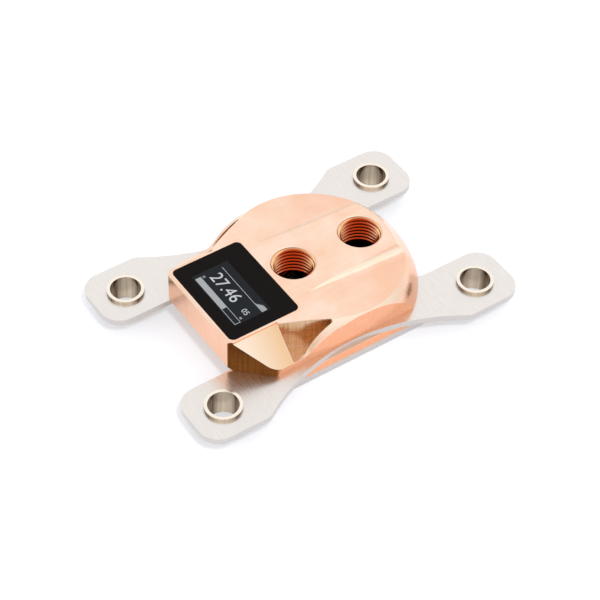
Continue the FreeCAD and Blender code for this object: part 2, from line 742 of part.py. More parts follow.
def retaining_frame():
    """Steel frame that clamps the cold plate from below."""
    body = new_body("retaining_frame")
    shape = new_sketch(body, "frame_outline", "XY_Plane", FRAME_BASE)
    rectangle(shape, FLANGE_SIDE, FLANGE_SIDE, "flange_corner")
    rectangle(shape, f"{BOSS_SIDE} + 2 * frame_gap", f"{BOSS_SIDE} + 2 * frame_gap",
              "boss_corner + frame_gap")
    for place in screw_places():
        circle(shape, "screw_diameter + 2 * screw_clearance", place)
    pad(body, "frame", shape, "frame_thick")
    heads = new_sketch(body, "screw_head_outlines", "XY_Plane", FRAME_BASE)
    for place in screw_places():
        circle(heads, "screw_head + 2 * screw_clearance", place)
    pocket(body, "screw_head_bores", heads, "screw_head_thick", up=True)
    return body


def grouped(label, single, places):
    """Join copies of one piece, each a solid of its own, under one label."""
    shape = single.Shape.copy()
    copies = [shape.translated(Vector(value(x), value(y), 0)) for x, y in places]
    group = document.addObject("Part::Feature", label)
    group.Label = label
    group.Shape = Part.makeCompound(copies)
    group.Placement = Placement(Vector(0, 0, 0), Rotation())
    return group


def frame_screws():
    """Screws with low round heads, driven from below."""
    single = new_body("frame_screw")
    profile = new_sketch(single, "screw_profile", "XZ_Plane")
    shank = "screw_diameter / 2"
    outline(profile, [
        ("0", FRAME_BASE),
        ("screw_head / 2", FRAME_BASE),
        ("screw_head / 2", f"{FRAME_BASE} + screw_head_thick"),
        (shank, f"{FRAME_BASE} + screw_head_thick"),
        (shank, f"{COVER_BASE} + screw_reach"),
        ("0", f"{COVER_BASE} + screw_reach")])
    revolve(single, "screw", profile)
    drive = new_sketch(single, "screw_socket_outline", "XY_Plane", FRAME_BASE)
    half, tall = "screw_socket / 2", "screw_socket / 2 / cos(30 deg)"
    outline(drive, [
        (half, f"-{tall} / 2"), (half, f"{tall} / 2"), ("0", tall),
        (f"-{half}", f"{tall} / 2"), (f"-{half}", f"-{tall} / 2"), ("0", f"-{tall}")])
    pocket(single, "screw_drive", drive, "screw_socket_depth", up=True)
    return grouped("frame_screws", single, screw_places())


# Display, its board and its probe
def display_window():
    """Glass over the display, flush with the deck."""
    body = new_body("display_window")
    shape = new_sketch(body, "window_outline", "XY_Plane", WINDOW_BASE)
    rectangle(shape, "window_width", "window_depth", "window_corner",
              ("0", f"-{WINDOW_CENTRE}"))
    pad(body, "window", shape, "window_thick")
    return body


def window_gasket():
    """Flat gasket between the glass and its ledge."""
    body = new_body("window_gasket")
    shape = new_sketch(body, "gasket_outline", "XY_Plane", LEDGE)
    middle = ("0", f"-{WINDOW_CENTRE}")
    rectangle(shape, "window_width", "window_depth", "window_corner", middle)
    rectangle(shape, CAVITY_WIDTH, CAVITY_DEPTH, "window_corner", middle)
    pad(body, "gasket", shape, "gasket_thick")
    return body


def display_panel():
    """Lit panel, bonded to the glass."""
    body = new_body("display_panel")
    shape = new_sketch(body, "panel_outline", "XY_Plane", PANEL_BASE)
    rectangle(shape, PANEL_WIDTH, PANEL_DEPTH, None, ("0", f"-{WINDOW_CENTRE} - panel_shift"))
    pad(body, "panel", shape, "panel_thick")
    return body


def circuit_board():
    """Board, bonded to the two rails of the cavity."""
    body = new_body("circuit_board")
    shape = new_sketch(body, "board_outline", "XY_Plane", BOARD_BASE)
    rectangle(shape, BOARD_WIDTH, BOARD_DEPTH, "board_corner", ("0", f"-{WINDOW_CENTRE}"))
    pad(body, "board", shape, "board_thick")
    return body


def processor_chip():
    """Chip that drives the panel."""
    body = new_body("processor_chip")
    shape = new_sketch(body, "chip_outline", "XY_Plane", BOARD_TOP)
    rectangle(shape, "chip_side", "chip_side", None, ("0", f"-{WINDOW_CENTRE}"))
    pad(body, "chip", shape, "chip_thick")
    return body


def data_socket():
    """Socket on the board's left edge, open to the left pocket."""
    body = new_body("data_socket")
    back = f"-({BOARD_WIDTH} / 2 - socket_seat)"
    shape = new_sketch(body, "socket_outline", "YZ_Plane", back)
    middle = (f"-{SOCKET_CENTRE}", f"{BOARD_TOP} + socket_rise / 2")
    rectangle(shape, "socket_width", "socket_rise", None, middle)
    pad(body, "socket", shape, "socket_reach", down=True)
    mouth = new_sketch(body, "socket_mouth_outline", "YZ_Plane", f"{back} - socket_reach")
    rectangle(mouth, "socket_width - 2 * socket_wall", "socket_rise - 2 * socket_wall", None, middle)
    pocket(body, "socket_mouth", mouth, "socket_reach - 2 * socket_wall", up=True)
    return body


def display_ribbon():
    """Flat ribbon that folds from the panel's rear edge down to the board."""
    body = new_body("display_ribbon")
    rear = f"(-{WINDOW_CENTRE} - panel_shift + {PANEL_DEPTH} / 2)"
    top, base = f"{PANEL_BASE} + ribbon_thick", BOARD_TOP
    inner_bend = "ribbon_bend - ribbon_thick"
    shape = new_sketch(body, "ribbon_profile", "YZ_Plane", "-ribbon_width / 2")
    outline(shape, [
        (f"{rear} - ribbon_reach", base),
        (f"{rear} + ribbon_reach", base, "ribbon_bend"),
        (f"{rear} + ribbon_reach", top, "ribbon_bend"),
        (rear, top),
        (rear, f"{top} - ribbon_thick"),
        (f"{rear} + ribbon_reach - ribbon_thick", f"{top} - ribbon_thick", inner_bend),
        (f"{rear} + ribbon_reach - ribbon_thick", f"{base} + ribbon_thick", inner_bend),
        (f"{rear} - ribbon_reach", f"{base} + ribbon_thick")])
    pad(body, "ribbon", shape, "ribbon_width")
    return body


def temperature_probe():
    """Probe in the cavity's rear wall, with its end just short of the inlet's bore."""
    body = new_body("temperature_probe")
    reach = f"(-port_front - port_diameter / 2 - probe_set_back - {CAVITY_REAR})"
    stem = new_sketch(body, "probe_stem_outline", "XZ_Plane",
                      f"-({CAVITY_REAR} - probe_seal_section)")
    circle(stem, "probe_stem", ("0", PROBE_LEVEL))
    pad(body, "probe_stem_pad", stem, f"{reach} + probe_seal_section", down=True)
    head = new_sketch(body, "probe_head_outline", "XZ_Plane",
                      f"-({CAVITY_REAR} - probe_seal_section)")
    circle(head, "probe_head", ("0", PROBE_LEVEL))
    pad(body, "probe_head_pad", head, "probe_head_thick")
    return body


def probe_seal():
    """Ring under the probe's head."""
    body = new_body("probe_seal")
    ring = new_sketch(body, "probe_seal_outline", "XZ_Plane", f"-{CAVITY_REAR}")
    circle(ring, "probe_stem + 2 * probe_seal_section", ("0", PROBE_LEVEL))
    circle(ring, "probe_stem", ("0", PROBE_LEVEL))
    pad(body, "probe_seal_pad", ring, "probe_seal_section")
    return body


def build():
    """Build every sub-part and return them in order."""
    parts = [top_cover(), cold_plate(), jet_plate(), main_seal(), mounting_bracket()]
    parts += [sleeve(label, place) for label, place in sleeve_places().items()]
    parts += [retaining_frame(), frame_screws()]
    parts += [display_window(), window_gasket(), display_panel(), circuit_board(), processor_chip()]
    parts += [data_socket(), display_ribbon(), temperature_probe(), probe_seal()]
    return parts


def write(parts):
    """Check every object and write each sub-part to its own file."""
    document.recompute()
    failed = [item.Name for item in document.Objects if {"Invalid", "Error"} & set(item.State)]
    if failed:
        raise RuntimeError(f"failed objects: {failed}")
    for part in parts:
        if part.Shape.isNull() or not part.Shape.isValid() or not part.Shape.Solids:
            raise RuntimeError(f"{part.Label} has no valid solid")
    os.makedirs("parts", exist_ok=True)
    for part in parts:
        part.Shape.exportStep(f"parts/{part.Label}.step")
        box = part.Shape.BoundBox
        print(f"{part.Label}: {len(part.Shape.Solids)} solids, {part.Shape.Volume:.1f} mm3, "
              f"x {box.XMin:.2f} {box.XMax:.2f}, y {box.YMin:.2f} {box.YMax:.2f}, "
              f"z {box.ZMin:.2f} {box.ZMax:.2f}")


write(build())
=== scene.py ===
"""Dress the water block: milled copper cover, lit display, threaded ports and steel bracket."""
import logging
import math
from dataclasses import dataclass, replace
from enum import Enum
from typing import Callable, Iterable, Sequence

import bmesh
import bpy
from mathutils import Matrix, Vector


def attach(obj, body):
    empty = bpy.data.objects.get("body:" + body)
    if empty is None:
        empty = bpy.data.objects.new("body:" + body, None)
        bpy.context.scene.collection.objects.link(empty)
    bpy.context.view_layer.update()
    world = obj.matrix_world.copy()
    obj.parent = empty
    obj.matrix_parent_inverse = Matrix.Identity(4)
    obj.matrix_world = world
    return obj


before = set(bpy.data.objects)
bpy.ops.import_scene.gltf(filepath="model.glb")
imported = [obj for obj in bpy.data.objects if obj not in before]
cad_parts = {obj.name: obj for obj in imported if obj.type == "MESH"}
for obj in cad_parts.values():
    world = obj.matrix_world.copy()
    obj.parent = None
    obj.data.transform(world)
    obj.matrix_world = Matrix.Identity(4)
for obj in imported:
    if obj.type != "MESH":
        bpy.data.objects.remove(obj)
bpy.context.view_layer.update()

LOG = logging.getLogger("water_block")
MM = 0.001
Colour = tuple[float, float, float]
LinearColour = tuple[float, float, float, float]
Tones = tuple[Colour, Colour]
Place = tuple[float, float, float]
Limits = tuple[float, float]
Plan = tuple[float, float]
Given = bpy.types.NodeSocket | float | LinearColour
Fill = Callable[[bmesh.types.BMesh], None]
WHITE: LinearColour = (1.0, 1.0, 1.0, 1.0)
BLACK: LinearColour = (0.0, 0.0, 0.0, 1.0)


class Slot(Enum):
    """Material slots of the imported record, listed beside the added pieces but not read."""

    COPPER = "copper"
    BLACK_GLASS = "black_glass"
    PANEL = "panel"


class Grain(Enum):
    """Directions that fine tool marks run in, as the noise's scale along X, Y and Z."""

    ALONG_X = (0.03, 1.0, 1.0)
    ALONG_Y = (1.0, 0.03, 1.0)
    ALONG_Z = (1.0, 1.0, 0.04)
    LEVEL = (0.03, 0.03, 1.0)
    EVEN = (1.0, 1.0, 1.0)


def linear(colour: Colour) -> LinearColour:
    """Turn a colour written as 0 to 255 screen values into the linear colour that shaders take.

    Args:
        colour: Red, green and blue as seen on a screen.

    Returns:
        Linear red, green, blue and an alpha of one.
    """
    shares = [part / 255 for part in colour]
    curved = [share / 12.92 if share <= 0.04045 else ((share + 0.055) / 1.055) ** 2.4
              for share in shares]
    return (*curved, 1.0)


class NodeSheet:
    """A node tree with short ways to add nodes and wires."""

    def __init__(self, tree: bpy.types.NodeTree) -> None:
        """Keep the tree that nodes are added to."""
        self.tree = tree

    def feed(self, node: bpy.types.Node, inputs: dict[str | int, Given]) -> None:
        """Wire or set the inputs of a node.

        Args:
            node: The node.
            inputs: Output sockets or values for its inputs, by name or number.
        """
        for label, given in inputs.items():
            socket = node.inputs[label]
            if isinstance(given, bpy.types.NodeSocket):
                self.tree.links.new(given, socket)
            else:
                socket.default_value = given

    def node(self, kind: str, inputs: dict[str | int, Given] | None = None,
             **settings: object) -> bpy.types.Node:
        """Add a node.

        Args:
            kind: The node's type, without its ShaderNode prefix.
            inputs: Output sockets or values for its inputs, by name or number.
            settings: Properties of the node itself.

        Returns:
            The new node.
        """
        made = self.tree.nodes.new(f"ShaderNode{kind}")
        for label, setting in settings.items():
            setattr(made, label, setting)
        self.feed(made, inputs or {})
        return made

    def math(self, operation: str, *values: Given) -> bpy.types.NodeSocket:
        """Add a Math node and return its result."""
        return self.node("Math", dict(enumerate(values)), operation=operation).outputs[0]

    def mix(self, factor: Given, first: Given, second: Given) -> bpy.types.NodeSocket:
        """Add a colour Mix node and return its result."""
        return self.node("Mix", {0: factor, 6: first, 7: second}, data_type="RGBA").outputs[2]

    def mix_tones(self, factor: Given, tones: Tones) -> bpy.types.NodeSocket:
        """Mix a deep and a light tone and return the result."""
        deep, light = tones
        return self.mix(factor, linear(deep), linear(light))

    def spread(self, given: Given, limits: Limits, start: float = 0.0,
               end: float = 1.0) -> bpy.types.NodeSocket:
        """Map a value between two limits to a start and an end, clamped, and return the result."""
        low, high = limits
        return self.node("MapRange", {0: given, 1: low, 2: high, 3: start, 4: end}).outputs[0]

    def spread_mm(self, length: Given, limits: Limits, start: float = 0.0,
                  end: float = 1.0) -> bpy.types.NodeSocket:
        """Map a length as spread does, with its limits in millimetres, and return the result."""
        low, high = limits
        return self.spread(length, (low * MM, high * MM), start, end)

    def gloss(self, noise: Given, roughness: Limits) -> bpy.types.NodeSocket:
        """Map the middle range of a noise to a range of roughness and return the result."""
        return self.spread(noise, (0.3, 0.7), *roughness)

    def point(self) -> bpy.types.NodeSocket:
        """Return the place on the solid, in metres."""
        return self.node("TexCoord").outputs["Object"]

    def place(self, axis: str) -> bpy.types.NodeSocket:
        """Return the place along one axis of the solid, in metres."""
        return self.node("SeparateXYZ", {0: self.point()}).outputs[axis]

    def normal(self) -> bpy.types.NodeSocket:
        """Return the direction that a face looks in."""
        return self.node("NewGeometry").outputs["Normal"]

    def facing(self) -> bpy.types.NodeOutputs:
        """Return the direction that a face looks in, as outputs X, Y and Z."""
        return self.node("SeparateXYZ", {0: self.normal()}).outputs


def new_group(name: str, inputs: dict[str, str], outputs: dict[str, str]) -> NodeSheet:
    """Start a shader node group.

    Args:
        name: The group's name.
        inputs: Socket type of each input, by name.
        outputs: Socket type of each output, by name.

    Returns:
        The group's node sheet.
    """
    tree = bpy.data.node_groups.new(name, "ShaderNodeTree")
    for in_out, sockets in (("INPUT", inputs), ("OUTPUT", outputs)):
        for label, kind in sockets.items():
            tree.interface.new_socket(label, in_out=in_out, socket_type=f"NodeSocket{kind}")
    return NodeSheet(tree)


def tool_marks_group() -> bpy.types.NodeTree:
    """Build the group that draws fine lines left by a cutter or a brush.

    Returns:
        The group, with outputs Lines (0 to 1), Clouds (0 to 1) and Normal.
    """
    sheet = new_group(
        "tool_marks",
        {"Stretch": "Vector", "Fineness": "Float", "Strength": "Float", "Depth": "Float",
         "Normal": "Vector"},
        {"Lines": "Float", "Clouds": "Float", "Normal": "Vector"})
    inward = sheet.tree.nodes.new("NodeGroupInput").outputs
    place = sheet.point()
    stretched = sheet.node("VectorMath", {0: place, 1: inward["Stretch"]}, operation="MULTIPLY")
    lines = sheet.node("TexNoise", {
        "Vector": stretched.outputs[0], "Scale": inward["Fineness"], "Detail": 6.0,
        "Roughness": 0.62})
    clouds = sheet.node("TexNoise", {"Vector": place, "Scale": 90.0, "Detail": 3.0})
    bump = sheet.node("Bump", {
        "Strength": inward["Strength"], "Distance": inward["Depth"],
        "Height": lines.outputs[0], "Normal": inward["Normal"]})
    outward = sheet.tree.nodes.new("NodeGroupOutput")
    sheet.feed(outward, {"Lines": lines.outputs[0], "Clouds": clouds.outputs[0],
                         "Normal": bump.outputs[0]})
    return sheet.tree


TOOL_MARKS = tool_marks_group()


@dataclass(frozen=True)
class ToolMarks:
    """Fine lines left by a cutter or a brush, and edges that are rounded in the shading.

    Fineness is the noise's scale across the lines, per metre. Depth is in metres, and edge is
    the radius of rounded edges in millimetres.
    """

    grain: Grain
    fineness: float
    strength: float
    depth: float = 0.00003
    edge: float = 0.12

    def put(self, sheet: NodeSheet) -> bpy.types.NodeOutputs:
        """Put the tool marks group in a material.

        Args:
            sheet: The material's node sheet.

        Returns:
            The group's outputs Lines, Clouds and Normal.
        """
        rounded = sheet.node("Bevel", {"Radius": self.edge * MM}, samples=6)
        group = sheet.node("Group", node_tree=TOOL_MARKS)
        sheet.feed(group, {
            "Normal": rounded.outputs["Normal"], "Stretch": self.grain.value,
            "Fineness": self.fineness, "Strength": self.strength, "Depth": self.depth})
        return group.outputs


MILLING = ToolMarks(Grain.ALONG_Y, 1500.0, 0.14, depth=0.00004, edge=0.25)
BRUSHING = ToolMarks(Grain.ALONG_X, 5200.0, 0.12, edge=0.1)
MOULDING = ToolMarks(Grain.EVEN, 3000.0, 0.08)
TURNING = ToolMarks(Grain.ALONG_Z, 1400.0, 0.06)
TAPPING = ToolMarks(Grain.LEVEL, 1500.0, 0.03, edge=0.05)
POLISHING = ToolMarks(Grain.EVEN, 400.0, 0.002, depth=0.00001, edge=0.05)


def new_material(name: str) -> tuple[bpy.types.Material, NodeSheet, bpy.types.Node]:
    """Start a material with a Principled shader.

    Args:
        name: The material's name.

    Returns:
        The material, its node sheet and its Principled node.
    """
    material = bpy.data.materials.new(name)
    material.use_nodes = True
    return (material, NodeSheet(material.node_tree),
            material.node_tree.nodes["Principled BSDF"])


def painted_bore_reflection(sheet: NodeSheet) -> bpy.types.NodeSocket:
    """Paint a reflection round a bore as broad upright stripes, on the two walls that face each
    other.

    Args:
        sheet: The material's node sheet.

    Returns:
        How far a face looks along the line between both walls, 0 to 1.
    """
    # Painted reflection: the stripes keep to this one fixed line.
    wall_to_wall = (0.815, -0.579, 0.0)
    turn = sheet.node("VectorMath", {0: sheet.normal(), 1: wall_to_wall}, operation="DOT_PRODUCT")
    return sheet.math("ABSOLUTE", turn.outputs["Value"])


@dataclass(frozen=True)
class MilledCopper:
    """Bare copper with painted light and shade: faces that look up are painted pale, and upright
    walls deeper, with crossing milling marks on them.

    Tones stand as deep and light. Each pair of limits is where a tone starts and where it is
    full: places are in millimetres, and a facing or slant is how far a face looks that way.
    """

    name: str = "milled_copper"
    milling: ToolMarks = MILLING
    # Painted light and shade: the first tones are pale for faces that look up, deeper for upright
    # walls, and lighter for the front, where the floor's reflection is painted in.
    top: Tones = ((250, 208, 180), (254, 225, 205))
    wall: Tones = ((243, 168, 124), (248, 181, 141))
    front: Tones = ((243, 189, 154), (249, 199, 168))
    # Painted shade: dark tones for the slanted corner walls at the display end.
    corner: Tones = ((110, 64, 22), (138, 84, 34))
    # Painted shade: duller tones for the pockets in the sides.
    pocket_painted_shade: Tones = ((188, 156, 122), (232, 198, 160))
    # Painted shade: a deeper tone for the flanks beside the spine, towards the rear.
    rear: Colour = (247, 188, 156)
    # Painted light: a pale tone for faces that slope sideways, then a painted golden reflection on
    # the slopes at the display end.
    slope_painted_light: Colour = (255, 234, 212)
    # Painted light: a pale tone that lifts the inner faces of the rims.
    slope_painted_reflection: Colour = (244, 202, 158)
    rim: Colour = (255, 240, 224)
    # Painted shade: a near-black tone for the deep passages and the bottoms of the ports.
    painted_passage_shade: Colour = (44, 25, 17)
    roughness: Limits = (0.17, 0.27)
    slope_roughness: float = 0.12
    streak_fineness: float = 1900.0
    level_fineness: float = 6500.0
    crossing_range: Limits = (0.75, 1.25)
    cloud_range: Limits = (0.52, 0.88)
    line_share: float = 0.4
    top_facing: Limits = (0.15, 0.7)
    slope_facing: Limits = (0.32, 0.45)
    front_facing: Limits = (-0.8, -0.95)
    pocket_slant: Limits = (-0.3, -0.36)
    corner_slant: Limits = (-0.2, -0.34)
    flank_sides: Limits = (12.5, 14.5)
    flank_length: Limits = (0.0, 30.0)
    flank_share: float = 0.6
    reflection_length: Limits = (-32.0, -20.5)
    display_end: Limits = (-20.4, -20.6)
    passage_sides: Limits = (8.5, 8.0)
    passage_heights: Limits = (12.0, 10.0)
    passage_front: Limits = (-12.0, -11.5)
    passage_rear: Limits = (28.5, 28.0)
    rim_reach: Limits = (-22.0, -24.0)

    def crossing_marks(self, sheet: NodeSheet) -> bpy.types.NodeSocket:
        """Cross upright streaks with fine level lines, as an end mill leaves them on a wall.

        Args:
            sheet: The material's node sheet.

        Returns:
            A mask from 0 to 1.
        """
        place = sheet.point()
        parts = []
        for grain, scale in ((Grain.ALONG_Z, self.streak_fineness),
                             (Grain.LEVEL, self.level_fineness)):
            way = sheet.node("VectorMath", {0: place, 1: grain.value}, operation="MULTIPLY")
            parts.append(sheet.node("TexNoise", {
                "Vector": way.outputs[0], "Scale": scale, "Detail": 2.0}).outputs[0])
        return sheet.spread(sheet.math("ADD", *parts), self.crossing_range)

    def flank_shade_mask(self, sheet: NodeSheet) -> bpy.types.NodeSocket:
        """Find where painted shade falls on the flanks beside the spine, stronger towards the rear.

        Args:
            sheet: The material's node sheet.

        Returns:
            A mask from 0 to the flank's share.
        """
        aside = sheet.math("ABSOLUTE", sheet.place("X"))
        beside = sheet.spread_mm(aside, self.flank_sides)
        behind = sheet.spread_mm(sheet.place("Y"), self.flank_length, 0.0, self.flank_share)
        return sheet.math("MULTIPLY", beside, behind)

    def passage_shade_mask(self, sheet: NodeSheet) -> bpy.types.NodeSocket:
        """Find the water passages, which get painted shade: close to the middle line and low in the
        block.

        Args:
            sheet: The material's node sheet.

        Returns:
            A mask from 0 to 1.
        """
        aside = sheet.math("ABSOLUTE", sheet.place("X"))
        inside = sheet.spread_mm(aside, self.passage_sides)
        low = sheet.spread_mm(sheet.place("Z"), self.passage_heights)
        front = sheet.spread_mm(sheet.place("Y"), self.passage_front)
        rear = sheet.spread_mm(sheet.place("Y"), self.passage_rear)
        return sheet.math("MULTIPLY", sheet.math("MULTIPLY", inside, low),
                          sheet.math("MULTIPLY", front, rear))

    def top_tone(self, sheet: NodeSheet, lines: bpy.types.NodeOutputs,
                 slopes: bpy.types.NodeSocket, ahead: bpy.types.NodeSocket) -> bpy.types.NodeSocket:
        """Colour the faces that look up: clouded tops painted pale, painted shade on the flanks,
        and painted light on the slopes, with a painted reflection at the display end.

        Args:
            sheet: The material's node sheet.
            lines: Outputs of the tool marks.
            slopes: Mask of the faces that slope sideways.
            ahead: Mask of the display end.

        Returns:
            The tone.
        """
        fine = sheet.math("MULTIPLY", lines["Lines"], self.line_share)
        cloud = sheet.spread(sheet.math("ADD", lines["Clouds"], fine), self.cloud_range)
        tops = sheet.mix_tones(cloud, self.top)
        # Painted shade on the flanks beside the spine.
        tops = sheet.mix(self.flank_shade_mask(sheet), tops, linear(self.rear))
        # Painted reflection: a golden tone on the slopes at the display end.
        towards_pocket = sheet.spread_mm(sheet.place("Y"), self.reflection_length)
        painted_reflection_mask = sheet.math("MULTIPLY", towards_pocket, ahead)
        slope_tone = sheet.mix(painted_reflection_mask, linear(self.slope_painted_light), linear(self.slope_painted_reflection))
        return sheet.mix(slopes, tops, slope_tone)

    def wall_tone(self, sheet: NodeSheet, facing: bpy.types.NodeOutputs,
                  ahead: bpy.types.NodeSocket) -> bpy.types.NodeSocket:
        """Colour the upright faces with painted light and shade: deeper sides, a lighter front,
        painted shade in the pockets and corners, and painted light on the rims' inner faces.

        Args:
            sheet: The material's node sheet.
            facing: Direction that a face looks in.
            ahead: Mask of the display end.

        Returns:
            The tone.
        """
        crossing = self.crossing_marks(sheet)
        sideways = sheet.math("ABSOLUTE", facing["X"])
        slant = sheet.math("MULTIPLY", sideways, facing["Y"])
        inward = sheet.math("MULTIPLY", facing["X"], sheet.place("X"))
        at_front = sheet.spread(facing["Y"], self.front_facing)
        # Painted shade in the pockets.
        in_pocket = sheet.math("SUBTRACT", sheet.spread(slant, self.pocket_slant), ahead)
        # Painted shade on the slanted corner walls.
        at_corner = sheet.math("MULTIPLY", sheet.spread(slant, self.corner_slant), ahead)
        walls = sheet.mix_tones(crossing, self.wall)
        for mask, tones in ((at_front, self.front), (in_pocket, self.pocket_painted_shade),
                            (at_corner, self.corner)):
            walls = sheet.mix(mask, walls, sheet.mix_tones(crossing, tones))
        # Painted light on the rims' inner faces.
        return sheet.mix(sheet.spread_mm(inward, self.rim_reach), walls, linear(self.rim))

    def material(self) -> bpy.types.Material:
        """Build the material: painted light and shade by the way that each face looks, fine lines,
        soft clouds.

        Returns:
            The material.
        """
        material, sheet, shader = new_material(self.name)
        lines = self.milling.put(sheet)
        facing = sheet.facing()
        ahead = sheet.spread_mm(sheet.place("Y"), self.display_end)
        sloping = sheet.math("MULTIPLY", sheet.math("ABSOLUTE", facing["X"]), facing["Z"])
        slopes = sheet.spread(sloping, self.slope_facing)
        # Painted light and shade: faces that look up take the pale tops, upright faces the deeper
        # walls.
        tone = sheet.mix(
            sheet.spread(facing["Z"], self.top_facing), self.wall_tone(sheet, facing, ahead),
            self.top_tone(sheet, lines, slopes, ahead))
        # Painted shade in the deep passages and the bottoms of the ports.
        tone = sheet.mix(self.passage_shade_mask(sheet), tone, linear(self.painted_passage_shade))
        rough = sheet.math("ADD", sheet.gloss(lines["Lines"], self.roughness),
                           sheet.math("MULTIPLY", slopes, self.slope_roughness))
        sheet.feed(shader, {"Base Color": tone, "Roughness": rough,
                            "Normal": lines["Normal"], "Metallic": 1.0})
        return material


@dataclass(frozen=True)
class BrushedSteel:
    """Stainless sheet with fine brush lines, and painted shade on its upright cut edges."""

    name: str = "brushed_stainless"
    brushing: ToolMarks = BRUSHING
    face: Tones = ((231, 225, 220), (241, 236, 232))
    # Painted shade: a deeper tone for the upright edges.
    cut: Colour = (206, 200, 196)
    roughness: Limits = (0.24, 0.36)
    streak_range: Limits = (0.35, 0.65)
    face_facing: Limits = (0.3, 0.8)

    def material(self) -> bpy.types.Material:
        """Build the material: brush lines in tone, roughness and normal, with painted shade on the
        upright edges.

        Returns:
            The material.
        """
        material, sheet, shader = new_material(self.name)
        lines = self.brushing.put(sheet)
        tone = sheet.mix_tones(sheet.spread(lines["Lines"], self.streak_range), self.face)
        # Painted shade on the upright edges, by how far a face looks up or down.
        flat = sheet.spread(sheet.math("ABSOLUTE", sheet.facing()["Z"]), self.face_facing)
        sheet.feed(shader, {
            "Base Color": sheet.mix(flat, linear(self.cut), tone),
            "Roughness": sheet.gloss(lines["Lines"], self.roughness),
            "Normal": lines["Normal"], "Metallic": 1.0})
        return material


@dataclass(frozen=True)
class PlainFinish:
    """A moulded, printed or plated finish with a fine even grain."""

    name: str
    tones: Tones
    roughness: Limits
    metallic: float = 0.0
    coat: float = 0.0
    shine: float = 0.5

    def material(self) -> bpy.types.Material:
        """Build the material: two close tones and an uneven gloss.

        Returns:
            The material.
        """
        material, sheet, shader = new_material(self.name)
        lines = MOULDING.put(sheet)
        sheet.feed(shader, {
            "Base Color": sheet.mix_tones(lines["Clouds"], self.tones),
            "Roughness": sheet.gloss(lines["Lines"], self.roughness),
            "Normal": lines["Normal"], "Metallic": self.metallic,
            "Coat Weight": self.coat, "Specular IOR Level": self.shine})
        return material


@dataclass(frozen=True)
class PlatedNickel:
    """Warm nickel plating on turned sleeves: pale rims, and bores with a painted reflection in
    broad upright stripes.
    """

    name: str = "nickel_plate"
    rim: Colour = (248, 238, 224)
    # Painted reflection: dark and light tones of the bore walls.
    bore: Tones = ((92, 64, 38), (232, 215, 192))
    roughness: Limits = (0.1, 0.2)
    stripe_range: Limits = (0.72, 0.98)
    stripe_share: float = 0.8
    streak_range: Limits = (0.4, 0.6)
    streak_share: float = 0.2
    rim_facing: Limits = (0.3, 0.8)

    def material(self) -> bpy.types.Material:
        """Build the material: bright rims, a painted reflection in stripes on the bore walls, and
        streaks around the walls.

        Returns:
            The material.
        """
        material, sheet, shader = new_material(self.name)
        lines = TURNING.put(sheet)
        # Painted reflection in the bore.
        stripe = sheet.spread(painted_bore_reflection(sheet), self.stripe_range, 0.0, self.stripe_share)
        streak = sheet.spread(lines["Lines"], self.streak_range, 0.0, self.streak_share)
        walls = sheet.mix_tones(sheet.math("ADD", stripe, streak), self.bore)
        flat = sheet.spread(sheet.facing()["Z"], self.rim_facing)
        sheet.feed(shader, {
            "Base Color": sheet.mix(flat, walls, linear(self.rim)),
            "Roughness": sheet.gloss(lines["Clouds"], self.roughness),
            "Normal": lines["Normal"], "Metallic": 1.0})
        return material


@dataclass(frozen=True)
class TappedCopper:
    """Bright copper of a cut thread with a painted reflection: deep red at two walls of the bore,
    pale painted glints in between.
    """

    name: str = "thread_copper"
    # Painted reflection: pale glints and deep red between the thread's walls.
    pale: Colour = (255, 206, 156)
    red: Colour = (184, 60, 18)
    roughness: Limits = (0.1, 0.18)
    line_share: float = 0.2
    stripe_range: Limits = (0.3, 0.68)

    def material(self) -> bpy.types.Material:
        """Build the material: a painted reflection in broad upright stripes, and fine lines along
        the cut.

        Returns:
            The material.
        """
        material, sheet, shader = new_material(self.name)
        lines = TAPPING.put(sheet)
        fine = sheet.math("MULTIPLY", lines["Lines"], self.line_share)
        # Painted reflection in the thread.
        stripe = sheet.spread(sheet.math("ADD", painted_bore_reflection(sheet), fine), self.stripe_range)
        sheet.feed(shader, {
            "Base Color": sheet.mix(stripe, linear(self.pale), linear(self.red)),
            "Roughness": sheet.gloss(lines["Lines"], self.roughness),
            "Normal": lines["Normal"], "Metallic": 1.0})
        return material


@dataclass(frozen=True)
class ClearGlass:
    """Clear cover glass, bonded to the print under it, which carries its faint reflection."""

    name: str = "cover_glass"
    tint: Colour = (252, 254, 255)
    refraction: float = 1.0

    def material(self) -> bpy.types.Material:
        """Build the material: clear glass with a trace of unevenness in its polish.

        Returns:
            The material.
        """
        material, sheet, shader = new_material(self.name)
        sheet.feed(shader, {
            "Normal": POLISHING.put(sheet)["Normal"], "Roughness": 0.0,
            "Base Color": linear(self.tint), "Transmission Weight": 1.0,
            "IOR": self.refraction})
        return material


@dataclass(frozen=True)
class ScreenGlow:
    """Lit pixels of the display, and the black print around them, which glows as painted light,
    with the glass's reflection.
    """

    name: str
    tone: Colour
    dimmest: float = 0.9
    pixel_fineness: float = 5000.0
    strength: float = 1.0
    roughness: float = 0.05
    shine: float = 0.04

    def material(self) -> bpy.types.Material:
        """Build the material: a steady glow, very slightly uneven from pixel to pixel.

        Returns:
            The material.
        """
        material, sheet, shader = new_material(self.name)
        pixels = sheet.node("TexNoise", {
            "Vector": sheet.point(), "Scale": self.pixel_fineness, "Detail": 1.0})
        bright = linear(self.tone)
        dim = (*(self.dimmest * part for part in bright[:3]), 1.0)
        sheet.feed(shader, {
            "Emission Color": sheet.mix(pixels.outputs[0], dim, bright),
            "Emission Strength": self.strength, "Base Color": BLACK,
            "Roughness": self.roughness, "Specular IOR Level": self.shine})
        return material


